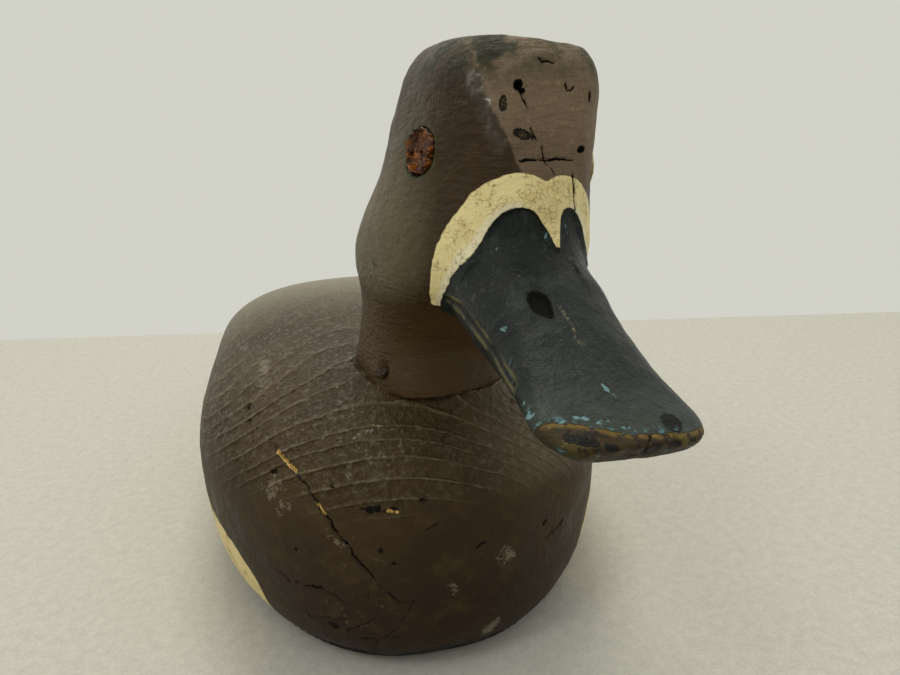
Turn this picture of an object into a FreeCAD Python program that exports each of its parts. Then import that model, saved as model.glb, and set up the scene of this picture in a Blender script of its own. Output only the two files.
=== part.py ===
import FreeCAD, Part
import math
import os

# A hunting decoy: a solid carved body with a carved head, neck and bill set on its shelf.
# Millimetres. The duck faces -Y and stands on the plane z = 0. The origin is under the
# middle of the body's length. "Left" and "right" are the duck's own, so left is +X.

# body block
body_front = -165.0
body_length = 332.0
beam = 81.0
beam_height = 47.0
shelf_height = 84.0
back_height = 88.0
under_reach = 62.0
front_run = 112.0
tail_top = 57.0
tail_bottom = 37.0
tail_half_width = 25.0

# head block, in its own frame: origin on the shelf, facing -Y
head_x = 9.5
head_y = -103.0
head_turn = 10.0
head_lean = 7.0
crown_height = 103.5
seat_depth = 2.0
seat_gap = 0.3

# bill, along its own axis from the face
bill_length = 60.0
bill_drop = 33.0
bill_root_y = -72.0
bill_root_z = 55.0

# eyes
eye_y = -43.0
eye_z = 74.0
eye_x = 27.0
eye_splay = 13.0
socket_radius = 6.2
glass_radius = 4.8
shank_radius = 0.6
shank_length = 16.0
putty_depth = 3.4

# dowel and nails of the neck
dowel_radius = 9.5
dowel_half = 30.0
nail_radius = 1.3
nail_length = 52.0
glue_gap = 0.1

# ballast bar and its screws
ballast_size = (26.0, 84.0, 13.0)
ballast_y = 22.0
ballast_inset = 1.0
ballast_gap = 0.25
screw_spacing = 60.0
screw_radius = 2.0
screw_head_radius = 4.0
screw_length = 30.0

# line tie: a staple over a swinging ring, in a recess under the breast
tie_y = -112.0
recess_size = (26.0, 34.0, 11.0)
wire_radius = 1.1
ring_radius = 7.5
ring_z = 5.0
staple_half = 4.0
staple_length = 20.0
hinge_y = tie_y - 8.0
running_gap = 0.08

up = FreeCAD.Vector(0, 0, 1)
zero = FreeCAD.Vector(0, 0, 0)


def vec(x, y, z):
    return FreeCAD.Vector(x, y, z)


def sign_power(value, power):
    return math.copysign(abs(value) ** power, value)


def smooth(t):
    t = max(0.0, min(1.0, t))
    return t * t * (3 - 2 * t)


def mix(first, second, t):
    return first + (second - first) * t


def rounded_curve(place, first, second, square, count=24):
    # A closed curve squarer than an ellipse. first and second are its reaches each way;
    # square is how square it is below and above its middle.
    points = []
    marks = [0.0]
    previous = None
    for i in range(count + 1):
        angle = 2 * math.pi * i / count
        high = math.sin(angle) > 0
        power = 2 / square[1 if high else 0]
        u = sign_power(math.cos(angle), power)
        v = sign_power(math.sin(angle), power)
        if i < count:
            points.append(place(u * first, v * (second[1] if high else second[0])))
        # every section shares the same spacing, so a loft through them stays smooth
        even = (sign_power(math.cos(angle), 0.74), sign_power(math.sin(angle), 0.74))
        if previous:
            marks.append(marks[-1] + math.dist(previous, even))
        previous = even
    curve = Part.BSplineCurve()
    curve.interpolate(Points=points, PeriodicFlag=True, Parameters=marks)
    return Part.Wire([curve.toShape()])


def rod(start, end, radius):
    line = end.sub(start)
    return Part.makeCylinder(radius, line.Length, start, line)


def bent_wire(points, corner, radius):
    # Round wire through the points, with its bends rounded.
    edges = []
    start = points[0]
    for i in range(1, len(points) - 1):
        before = points[i] + (points[i - 1] - points[i]).normalize() * corner
        after = points[i] + (points[i + 1] - points[i]).normalize() * corner
        centre_line = (before - points[i]) + (after - points[i])
        middle = points[i] + centre_line.normalize() * corner * (math.sqrt(2) - 1)
        edges.append(Part.makeLine(start, before))
        edges.append(Part.Arc(before, middle, after).toShape())
        start = after
    edges.append(Part.makeLine(start, points[-1]))
    path = Part.Wire(edges)
    profile = Part.Wire([Part.makeCircle(radius, points[0], points[1] - points[0])])
    return path.makePipeShell([profile], True, False)


# body block

def body_section(s):
    # A section at the distance s behind the front of the breast.
    y = body_front + s
    tail = smooth((s / body_length - 0.56) / 0.44)
    full = 1.0
    if s < front_run:
        full = (1 - (1 - s / front_run) ** 2.2) ** (1 / 2.2)
    close = max(0.0, (s - body_length + 12) / 12)
    full = full * (1 - close ** 2.4) ** (1 / 2.4)
    width = mix(beam, tail_half_width, tail) * full
    back = mix(shelf_height + 1, back_height, smooth((s - 90) / 80))
    top = mix(back, tail_top, tail)
    bottom = mix(beam_height - under_reach, tail_bottom, tail)
    middle = mix(beam_height, (tail_top + tail_bottom) / 2, tail)
    crown = mix(2.6, 3.1, smooth((s - 60) / 100))
    return rounded_curve(
        lambda u, v: vec(u, y, middle + v),
        width,
        ((middle - bottom) * full ** 0.4, (top - middle) * full ** 0.55),
        (mix(3.0, 2.4, tail), mix(crown, 2.4, tail)),
    )


def body_envelope():
    stations = [0.6, 4, 12, 28, 52, 84, 120, 165, 205, 240, 270, 295, 315, 325, 331]
    nose = Part.Vertex(vec(0, body_front, beam_height))
    solid = Part.makeLoft([nose] + [body_section(s) for s in stations], True, False)
    below = Part.makeBox(400, 500, 100, vec(-200, -250, -100))
    return solid.cut(below)


def ballast_pocket():
    x, y, z = ballast_size
    x, y, z = x + 2 * ballast_gap, y + 2 * ballast_gap, z + ballast_inset
    return Part.makeBox(x, y, z + 1, vec(-x / 2, ballast_y - y / 2, -1))


def tie_recess():
    x, y, z = recess_size
    box = Part.makeBox(x, y, z + 1, vec(-x / 2, tie_y - y / 2, -1))
    upright = [edge for edge in box.Edges if edge.tangentAt(edge.FirstParameter).z ** 2 > 0.9]
    return box.makeFillet(5.0, upright)


def body_block(neck_seat, holes):
    body = body_envelope()
    for tool in [neck_seat, ballast_pocket(), tie_recess()] + holes:
        body = body.cut(tool)
    return body.removeSplitter()


# head block

def head_place(shape):
    shape = shape.copy()
    shape.rotate(zero, vec(0, 1, 0), head_lean)
    shape.rotate(zero, up, head_turn)
    shape.translate(vec(head_x, head_y, shelf_height))
    return shape


def head_section(z, width, front, back, square):
    middle = (front + back) / 2
    reach = (back - front) / 2
    return rounded_curve(
        lambda u, v: vec(u, middle + v, z), width, (reach, reach), (square, square)
    )


def skull():
    # Neck, cheeks, eye line and crown, from below.
    sections = [
        head_section(-9, 26.5, -29, 32, 2.8),
        head_section(3, 25, -28, 31, 2.7),
        head_section(13, 24.5, -27.5, 30, 2.6),
        head_section(24, 26.5, -40, 29, 2.5),
        head_section(35, 31, -58, 27, 2.5),
        head_section(48, 32.5, -69, 24, 2.2),
        head_section(62, 29.5, -72, 19, 2.0),
        head_section(76, 26.5, -70, 13, 2.2),
        head_section(90, 24, -68, 5, 2.6),
        head_section(98, 22.2, -66, -1, 2.7),
        head_section(102.5, 19.5, -63, -5, 2.7),
        head_section(105.5, 14.5, -57, -11, 2.7),
    ]
    block = Part.makeLoft(sections, True, False)
    return block.cut(Part.makeBox(200, 200, 40, vec(-100, -150, crown_height)))


def forehead_slab():
    # Takes off the flat facet above the bill.
    slab = Part.makeBox(120, 40, 60, vec(-60, -40, 0))
    slab.rotate(zero, vec(1, 0, 0), -4)
    slab.translate(vec(0, -67.5, 73))
    return slab


def bill_frame():
    drop = math.radians(bill_drop)
    forward = vec(0, -math.cos(drop), -math.sin(drop))
    upward = vec(0, -math.sin(drop), math.cos(drop))
    return vec(0, bill_root_y, bill_root_z), forward, upward


def bill_section(t, width, thickness, dip):
    # Square to the bill's axis; dip is how far its top lies under the straight line.
    root, forward, upward = bill_frame()
    centre = root + forward * t - upward * (dip + thickness / 2)
    return rounded_curve(
        lambda u, v: centre + vec(u, 0, 0) + upward * v,
        width / 2,
        (thickness / 2, thickness / 2),
        (2.5, 2.5),
    )


def bill():
    return Part.makeLoft([
        bill_section(-24, 40, 30, 2),
        bill_section(-8, 40, 36, 0),
        bill_section(6, 37.5, 33, 0.5),
        bill_section(20, 36, 26, 2),
        bill_section(34, 37.5, 18, 3),
        bill_section(46, 41, 12, 2.6),
        bill_section(54, 41, 8.6, 2.0),
        bill_section(bill_length - 1.5, 34, 6.8, 1.8),
        bill_section(bill_length, 26, 5.5, 2.0),
    ], True, False)


def nostril(side):
    pit = Part.makeSphere(3.2)
    scale = FreeCAD.Matrix()
    scale.scale(0.62, 1.5, 0.6)
    pit = pit.transformGeometry(scale)
    pit.rotate(zero, up, -side * 13.6)
    pit.rotate(zero, vec(1, 0, 0), bill_drop)
    root, forward, upward = bill_frame()
    pit.translate(root + forward * 18.9 - upward * 2.4 + vec(side * 7.9, 0, 0))
    return pit


def eye_axis(side):
    # The middle of an eye on the cheek's surface, and the way it looks.
    splay = math.radians(eye_splay)
    outward = vec(side * math.cos(splay), -math.sin(splay), 0.12)
    return vec(side * eye_x, eye_y, eye_z), outward.normalize()


def eye_rod(side, inner, outer, radius):
    centre, outward = eye_axis(side)
    return rod(centre + outward * inner, centre + outward * outer, radius)


def head_block(holes):
    block = skull().cut(forehead_slab()).fuse(bill())
    for side in (-1, 1):
        block = block.cut(nostril(side))
        block = block.cut(eye_rod(side, -putty_depth, 12, socket_radius))
        block = block.cut(eye_rod(side, -shank_length - 1, 0, shank_radius + glue_gap))
    block = head_place(block)
    block = block.cut(Part.makeBox(400, 400, 100, vec(-200, -250, shelf_height - seat_depth - 100)))
    for tool in holes:
        block = block.cut(tool)
    return block.removeSplitter()


def neck_seat():
    # The shallow seat in the shelf, a little larger all round than the neck's foot.
    seat = skull()
    grow = FreeCAD.Matrix()
    grow.scale(1 + seat_gap / 26, 1 + seat_gap / 30, 1)
    seat = head_place(seat.transformGeometry(grow))
    low = shelf_height - seat_depth - glue_gap
    return seat.common(Part.makeBox(400, 400, 30, vec(-200, -250, low)))


# neck fixings

def neck_dowel(gap=0.0):
    extra = 1.0 if gap else 0.0
    start = vec(head_x, head_y, shelf_height - dowel_half - extra)
    end = vec(head_x, head_y, shelf_height + dowel_half + extra)
    return rod(start, end, dowel_radius + gap)


def neck_nail(side, gap=0.0):
    # Driven aslant through the neck into the body, one at the front and one at the side.
    head_end = vec(-10.2, -121.6, 89.0)
    way = vec(0.32, 0.16, -1).normalize()
    if side > 0:
        head_end = vec(32.4, -92.0, 90.0)
        way = vec(-0.8, 0.15, -1).normalize()
    outer = 12.0 if gap else 0.0
    extra = 1.0 if gap else 0.0
    shank = rod(head_end - way * outer, head_end + way * (nail_length + extra), nail_radius + gap)
    cap = rod(head_end - way * outer, head_end + way * (1.2 + gap), nail_radius * 1.9 + gap)
    return shank.fuse(cap)


# eyes

def left_glass():
    # A low dome on a flat back.
    centre, outward = eye_axis(1)
    bulge = 6.0
    ball = Part.makeSphere(bulge, centre + outward * (2.6 - bulge))
    button = eye_rod(1, -1.6, 4, glass_radius)
    return head_place(ball.common(button))


def left_shank():
    return head_place(eye_rod(1, -shank_length, -1.7, shank_radius))


def left_putty():
    # A bed behind the glass with a raised ring round it.
    centre, outward = eye_axis(1)
    bed = eye_rod(1, -putty_depth + glue_gap, 0.2, socket_radius - glue_gap)
    lip = Part.makeTorus(glass_radius + 0.75, 0.65, centre + outward * 0.2, outward)
    seat = eye_rod(1, -1.7, 6, glass_radius + glue_gap)
    hole = eye_rod(1, -8, 6, shank_radius + glue_gap)
    return head_place(bed.fuse(lip).cut(seat).cut(hole).removeSplitter())


def right_putty():
    # What is left in the empty socket: a dished bed with the shank's hole in it.
    centre, outward = eye_axis(-1)
    bed = eye_rod(-1, -putty_depth + glue_gap, -0.5, socket_radius - glue_gap)
    dish = Part.makeSphere(7.0, centre + outward * 4.9)
    hole = eye_rod(-1, -8, 6, shank_radius + glue_gap)
    return head_place(bed.cut(dish).cut(hole))


# ballast and line tie

def ballast_screw(y, gap=0.0):
    # A countersunk screw, driven up from below.
    low = ballast_inset + 0.3
    tip = low + screw_length + (1 if gap else 0)
    shank = rod(vec(0, y, low), vec(0, y, tip), screw_radius + gap)
    cone = Part.makeCone(screw_head_radius + gap, screw_radius + gap, 2.6, vec(0, y, low))
    if gap:
        return shank.fuse(cone).fuse(rod(vec(0, y, -1), vec(0, y, low), screw_head_radius + gap))
    slot = Part.makeBox(9, 1.0, 1.1, vec(-4.5, y - 0.5, low - 0.1))
    return shank.fuse(cone).cut(slot)


def screw_places():
    return [ballast_y - screw_spacing / 2, ballast_y + screw_spacing / 2]


def ballast_bar():
    x, y, z = ballast_size
    bar = Part.makeBox(x, y, z, vec(-x / 2, ballast_y - y / 2, ballast_inset))
    upright = [edge for edge in bar.Edges if edge.tangentAt(edge.FirstParameter).z ** 2 > 0.9]
    bar = bar.makeFillet(2.0, upright)
    for place in screw_places():
        bar = bar.cut(ballast_screw(place, glue_gap))
    return bar


def tie_staple(gap=0.0):
    # Two legs driven up into the recess's roof, with the bow between them running fore and aft.
    roof = recess_size[2] + staple_length + (1 if gap else 0)
    low = ring_z - 2 * wire_radius - running_gap
    return bent_wire(
        [
            vec(0, hinge_y - staple_half, roof),
            vec(0, hinge_y - staple_half, low),
            vec(0, hinge_y + staple_half, low),
            vec(0, hinge_y + staple_half, roof),
        ],
        2.2,
        wire_radius + gap,
    )


def tie_ring():
    # Hooked over the staple's bow and folded back into the recess.
    return Part.makeTorus(ring_radius, wire_radius, vec(0, hinge_y + ring_radius, ring_z), up)


def save(shape, name):
    shape.exportStep("parts/" + name + ".step")


def build():
    os.makedirs("parts", exist_ok=True)
    neck_holes = [neck_dowel(glue_gap), neck_nail(-1, glue_gap), neck_nail(1, glue_gap)]
    screw_holes = [ballast_screw(place, glue_gap) for place in screw_places()]
    shapes = {
        "body_block": body_block(neck_seat(), neck_holes + screw_holes + [tie_staple(glue_gap)]),
        "head_block": head_block(neck_holes),
        "neck_dowel": neck_dowel(),
        "neck_nails": Part.makeCompound([neck_nail(-1), neck_nail(1)]),
        "left_eye_glass": left_glass(),
        "left_eye_shank": left_shank(),
        "left_eye_putty": left_putty(),
        "right_eye_putty": right_putty(),
        "ballast_bar": ballast_bar(),
        "ballast_screws": Part.makeCompound([ballast_screw(place) for place in screw_places()]),
        "tie_staple": tie_staple(),
        "tie_ring": tie_ring(),
    }
    for name, shape in shapes.items():
        box = shape.BoundBox
        print(name, shape.isValid(), len(shape.Solids), round(shape.Volume / 1000, 2), box)
        save(shape, name)


build()
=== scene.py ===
import functools
import math
import bpy
import numpy as np
from mathutils import Matrix, Vector, noise


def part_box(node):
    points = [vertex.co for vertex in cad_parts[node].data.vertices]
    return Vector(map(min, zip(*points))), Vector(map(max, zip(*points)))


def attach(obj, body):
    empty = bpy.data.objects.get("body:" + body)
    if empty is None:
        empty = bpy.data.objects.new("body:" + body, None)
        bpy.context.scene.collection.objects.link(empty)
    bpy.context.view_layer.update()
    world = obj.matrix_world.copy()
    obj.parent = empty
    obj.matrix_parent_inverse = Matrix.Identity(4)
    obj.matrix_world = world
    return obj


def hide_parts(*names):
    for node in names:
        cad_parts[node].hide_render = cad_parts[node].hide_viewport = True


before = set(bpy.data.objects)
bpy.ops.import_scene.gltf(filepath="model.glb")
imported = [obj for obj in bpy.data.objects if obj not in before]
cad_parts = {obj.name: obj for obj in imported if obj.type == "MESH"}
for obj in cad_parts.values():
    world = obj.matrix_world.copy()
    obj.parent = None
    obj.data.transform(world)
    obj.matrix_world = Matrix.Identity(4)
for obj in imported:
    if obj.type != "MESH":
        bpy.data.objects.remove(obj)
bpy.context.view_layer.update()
print("frame loaded")


def hexToLinear(code):
    parts = [int(code[i:i + 2], 16) / 255 for i in (1, 3, 5)]
    light = [p / 12.92 if p <= 0.04045 else ((p + 0.055) / 1.055) ** 2.4 for p in parts]
    return (*light, 1.0)


def deselectAll():
    if bpy.context.object and bpy.context.object.mode != "OBJECT":
        bpy.ops.object.mode_set(mode="OBJECT")
    bpy.ops.object.select_all(action="DESELECT")


def makeActive(piece):
    deselectAll()
    piece.select_set(True)
    bpy.context.view_layer.objects.active = piece


# short names for the nodes that the paints use most
shortKinds = {
    "fade": ("MapRange", {"interpolation_type": "SMOOTHSTEP"}), "ramp": ("MapRange", {}),
    "+": ("Math", {"operation": "ADD"}), "-": ("Math", {"operation": "SUBTRACT"}),
    "*": ("Math", {"operation": "MULTIPLY"}), "max": ("Math", {"operation": "MAXIMUM"}),
    "size": ("Math", {"operation": "ABSOLUTE"}), "cos": ("Math", {"operation": "COSINE"}),
}


def fillInputs(node, inputs):  # numbers are set, and sockets or a node's first output linked
    for key, value in inputs.items():
        if isinstance(value, bpy.types.Node):
            value = value.outputs[0]
        if isinstance(value, bpy.types.NodeSocket):
            node.id_data.links.new(value, node.inputs[key])
        else:
            node.inputs[key].default_value = value


def addNode(tree, kind, *inputs, **settings):  # inputs in order, or one dictionary of them
    if kind in ("+", "*") and len(inputs) > 2:
        inputs = (addNode(tree, kind, *inputs[:-1]), inputs[-1])
    kind, extra = shortKinds.get(kind, (kind, {}))
    node = tree.nodes.new("ShaderNode" + kind)
    for key, value in {**extra, **settings}.items():
        setattr(node, key, value)
    named = inputs and isinstance(inputs[0], dict)
    fillInputs(node, inputs[0] if named else dict(enumerate(inputs)))
    return node


def startPaint(name):
    material = bpy.data.materials.new(name)
    material.use_nodes = True
    add = functools.partial(addNode, material.node_tree)
    shader = material.node_tree.nodes["Principled BSDF"]
    return material, add, shader, add("TexCoord").outputs["Object"]


def readPaint(add, place, piece, noiseMm):  # what a skin stores, and its noises by size
    read = {a.name: add("Attribute", attribute_name=a.name).outputs["Fac"]
            for a in piece.data.attributes if a.data_type == "FLOAT"}
    noises = [add("TexNoise", {"Vector": place, "Scale": 1000 / size, "Detail": detail,
                               "Roughness": 0.6}) for size, detail in zip(noiseMm, (3, 4, 4, 3))]
    return read, *noises


def layPaint(add, shader, base, layers):  # a layer is its shares, multiplied, and its colour
    colour = hexToLinear(base)
    for *shares, code in layers:
        amount = add("*", *shares) if len(shares) > 1 else shares[0]
        colour = add("Mix", {0: amount, 6: colour, 7: hexToLinear(code)},
                     data_type="RGBA").outputs[2]
    fillInputs(shader, {"Base Color": colour})


def smooth(low, high, value):
    share = np.clip((value - low) / (high - low), 0, 1)
    return share * share * (3 - 2 * share)


def wobble(points, size, seed, detail=3):  # cloudy noise, about -1 to 1, size in mm
    shift = Vector((seed * 3.7, seed * 11.3, seed * 7.9))
    return np.array([noise.fractal(Vector(p) / size + shift, 0.7, 2.1, detail) for p in points])


def rounded(line, passes=2, closed=False):  # cuts the corners of a run of points
    points = np.array(line, float)
    for _ in range(passes):
        following = np.roll(points, -1, axis=0) if closed else points[1:]
        here = points if closed else points[:-1]
        cut = np.stack([here * 0.75 + following * 0.25, here * 0.25 + following * 0.75], 1)
        cut = cut.reshape(-1, points.shape[1])
        points = cut if closed else np.vstack([points[:1], cut, points[-1:]])
    return points


def lineDistance(points, line):
    best = np.full(len(points), 1000.0)
    line = np.array(line, float)
    for start, end in zip(line[:-1], line[1:]):
        run = end - start
        share = np.clip(((points - start) @ run) / max(run @ run, 1e-9), 0, 1)
        away = np.linalg.norm(points - start - share[:, None] * run, axis=1)
        best = np.minimum(best, away)
    return best


def insideDistance(points, outline):  # positive inside the outline
    outline = np.vstack([outline, outline[:1]])
    away = lineDistance(points, outline)
    inside = np.zeros(len(points), bool)
    for (x0, y0), (x1, y1) in zip(outline[:-1], outline[1:]):
        crosses = (points[:, 1] < y0) != (points[:, 1] < y1)
        rise = y1 - y0 if abs(y1 - y0) > 1e-9 else 1e-9
        inside ^= crosses & (points[:, 0] < x0 + (points[:, 1] - y0) * (x1 - x0) / rise)
    return np.where(inside, away, -away)


def spotDistance(points, spots):  # spots are (a, b, halfWidth, halfHeight, turn); negative inside
    best = np.full(len(points), 50.0)
    for a, b, wide, tall, turn in spots:
        da, db = points[:, 0] - a, points[:, 1] - b
        c, s = math.cos(math.radians(turn)), math.sin(math.radians(turn))
        u, v = (da * c + db * s) / wide, (db * c - da * s) / tall
        best = np.minimum(best, (np.hypot(u, v) - 1) * min(wide, tall))
    return best


def copyOfNode(node, name, voxelMm, smoothing):
    piece = bpy.data.objects.new(name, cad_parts[node].data.copy())
    piece.data.materials.clear()
    bpy.context.scene.collection.objects.link(piece)
    makeActive(piece)
    bpy.ops.object.mode_set(mode="EDIT")
    bpy.ops.mesh.select_all(action="SELECT")
    bpy.ops.mesh.remove_doubles(threshold=0.00002)
    bpy.ops.object.mode_set(mode="OBJECT")
    remesh = piece.modifiers.new("evenSkin", "REMESH")
    remesh.mode = "VOXEL"
    remesh.voxel_size = voxelMm / 1000
    bpy.ops.object.modifier_apply(modifier=remesh.name)
    bpy.ops.object.mode_set(mode="EDIT")
    bpy.ops.mesh.select_all(action="SELECT")
    bpy.ops.mesh.vertices_smooth(factor=0.5, repeat=smoothing)
    bpy.ops.object.mode_set(mode="OBJECT")
    return piece


def editPicked(piece, kind, pick, operator, **settings):
    makeActive(piece)
    bpy.ops.object.mode_set(mode="EDIT")
    bpy.ops.mesh.select_mode(type=kind)
    bpy.ops.mesh.select_all(action="DESELECT")
    bpy.ops.object.mode_set(mode="OBJECT")
    parts = piece.data.polygons if kind == "FACE" else piece.data.vertices
    parts.foreach_set("select", pick)
    bpy.ops.object.mode_set(mode="EDIT")
    operator(**settings)
    bpy.ops.object.mode_set(mode="OBJECT")


def finerWhere(piece, chooser):  # splits the faces whose middles the chooser picks
    middles = np.empty(len(piece.data.polygons) * 3, np.float32)
    piece.data.polygons.foreach_get("center", middles)
    picked = chooser(middles.reshape(-1, 3).astype(float) * 1000)
    editPicked(piece, "FACE", picked, bpy.ops.mesh.subdivide, number_cuts=1, smoothness=0)


def readSkin(piece):
    count = len(piece.data.vertices)
    places, normals = np.empty(count * 3, np.float32), np.empty(count * 3, np.float32)
    piece.data.vertices.foreach_get("co", places)
    piece.data.vertex_normals.foreach_get("vector", normals)
    return places.reshape(-1, 3).astype(float) * 1000, normals.reshape(-1, 3).astype(float)


def moveSkin(piece, places, low, high):
    inside = np.clip(places / 1000, np.array(low), np.array(high))
    piece.data.vertices.foreach_set("co", inside.astype(np.float32).ravel())
    piece.data.update()
    makeActive(piece)
    bpy.ops.object.shade_smooth()


def storeValues(piece, values):
    for name, numbers in values.items():
        layer = piece.data.attributes.new(name, "FLOAT", "POINT")
        layer.data.foreach_set("value", np.asarray(numbers, np.float32))


# camera, room and light

cameraCard = {"place": (-0.0298, -0.3336, 0.168), "heading": 11.5, "pitch": 17.8, "roll": -1.8,
              "focal": 27.04}

heading, pitch, roll = (math.radians(cameraCard[k]) for k in ("heading", "pitch", "roll"))
level = Vector((math.sin(heading), math.cos(heading), 0))
right = Vector((math.cos(heading), -math.sin(heading), 0))
ahead = level * math.cos(pitch) - Vector((0, 0, 1)) * math.sin(pitch)
upward = right.cross(ahead)
sideways = right * math.cos(roll) + upward * math.sin(roll)
upright = upward * math.cos(roll) - right * math.sin(roll)
bpy.ops.object.camera_add(location=cameraCard["place"])
camera = bpy.context.object
camera.name = "tableCamera"
camera.data.sensor_width = 36
camera.data.lens = cameraCard["focal"]
camera.data.clip_start = 0.01
turned = Matrix((sideways, upright, -ahead)).transposed().to_4x4()
camera.matrix_world = Matrix.Translation(Vector(cameraCard["place"])) @ turned
bpy.context.scene.camera = camera

roomCard = {
    "wallDistance": 0.556,      # how far the table runs on behind the decoy, from the camera
    "wallColour": "#d2d2c8", "tableColour": "#bfbeb5",
    "speckle": 0.08,
    "skyTop": 0.86, "skyLow": 0.42, "lightFrom": (0.05, 0.38, 0.92),
    "skyColour": "#fffdf4", "lampColour": "#fffbf0",
    "aimedAt": (0, -0.08, 0.08),  # metres, about the middle of the decoy
    # name: place, size, watts
    "lamps": {"ceilingLight": ((0.02, 0.42, 1.4), (0.55, 0.5), 7.4),
              "windowLight": ((-0.62, -0.50, 1.05), (0.26, 0.30), 1.7)},
}


def floorMaterial(name, colour, speckle):
    # laminate table top: dull, with fine grey flecks
    material, add, shader, place = startPaint(name)
    fleck = add("TexNoise", {"Vector": place, "Scale": 900.0, "Detail": 2.0})
    cloud = add("TexNoise", {"Vector": place, "Scale": 260.0, "Detail": 3.0})
    tone = add("ramp", add("+", fleck, cloud), 0.75, 1.25, 1 - speckle, 1 + speckle)
    tint = add("VectorMath", {0: hexToLinear(colour)[:3], 3: tone}, operation="SCALE")
    fillInputs(shader, {"Base Color": tint, "Roughness": 0.75, "Specular IOR Level": 0.25})
    return material


def addStage(name, material, depth, middle):  # a wide plane, set out from under the camera
    bpy.ops.mesh.primitive_plane_add(size=1)
    piece = bpy.context.object
    piece.name = name
    turn = Matrix((right, level, Vector((0, 0, 1)))).transposed().to_4x4()
    eye = Vector((cameraCard["place"][0], cameraCard["place"][1], 0))
    piece.data.transform(Matrix.Diagonal((18.0, depth, 1, 1)))
    piece.data.transform(Matrix.Translation((0, middle, 0)))
    piece.data.transform(Matrix.Translation(eye) @ turn)
    piece.data.materials.append(material)


def paperMaterial():  # matt paper, evenly lit
    material = bpy.data.materials.new("backdropPaper")
    material.use_nodes = True
    material.node_tree.nodes.clear()
    glow = addNode(material.node_tree, "Emission", {"Color": hexToLinear(roomCard["wallColour"])})
    addNode(material.node_tree, "OutputMaterial", glow)
    return material


def addFloor():
    near, far = -9.0, roomCard["wallDistance"]
    laminate = floorMaterial("speckledTableLaminate", roomCard["tableColour"], roomCard["speckle"])
    addStage("tableTop", laminate, far - near, (near + far) / 2)
    addStage("paleBackdrop", paperMaterial(), 9.0, far + 4.5)


def addLight():
    world = bpy.data.worlds.new("softRoom")
    bpy.context.scene.world = world
    world.use_nodes = True
    world.node_tree.nodes.clear()
    add = functools.partial(addNode, world.node_tree)
    way = add("TexCoord").outputs["Generated"]
    facing = add("VectorMath", way, Vector(roomCard["lightFrom"]).normalized(),
                 operation="DOT_PRODUCT").outputs["Value"]
    glow = add("fade", facing, -0.30, 1.0, roomCard["skyLow"], roomCard["skyTop"])
    light = add("Background", hexToLinear(roomCard["skyColour"]), glow)
    seen = add("Background", hexToLinear(roomCard["wallColour"]), 1.0)
    mix = add("MixShader", add("LightPath").outputs["Is Camera Ray"], light, seen)
    add("OutputWorld", mix)
    for name, (place, size, watts) in roomCard["lamps"].items():
        bpy.ops.object.light_add(type="AREA", location=place)
        lamp = bpy.context.object
        lamp.name = name
        lamp.data.shape = "RECTANGLE"
        lamp.data.size, lamp.data.size_y = size
        lamp.data.energy = watts
        lamp.data.color = hexToLinear(roomCard["lampColour"])[:3]
        aim = Vector(roomCard["aimedAt"]) - lamp.location
        lamp.rotation_euler = aim.to_track_quat("-Z", "Y").to_euler()


addFloor()
addLight()
bpy.context.scene.view_settings.view_transform = "Standard"
print("room and camera set")


# the body: a cedar block under old brown oil paint

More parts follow.
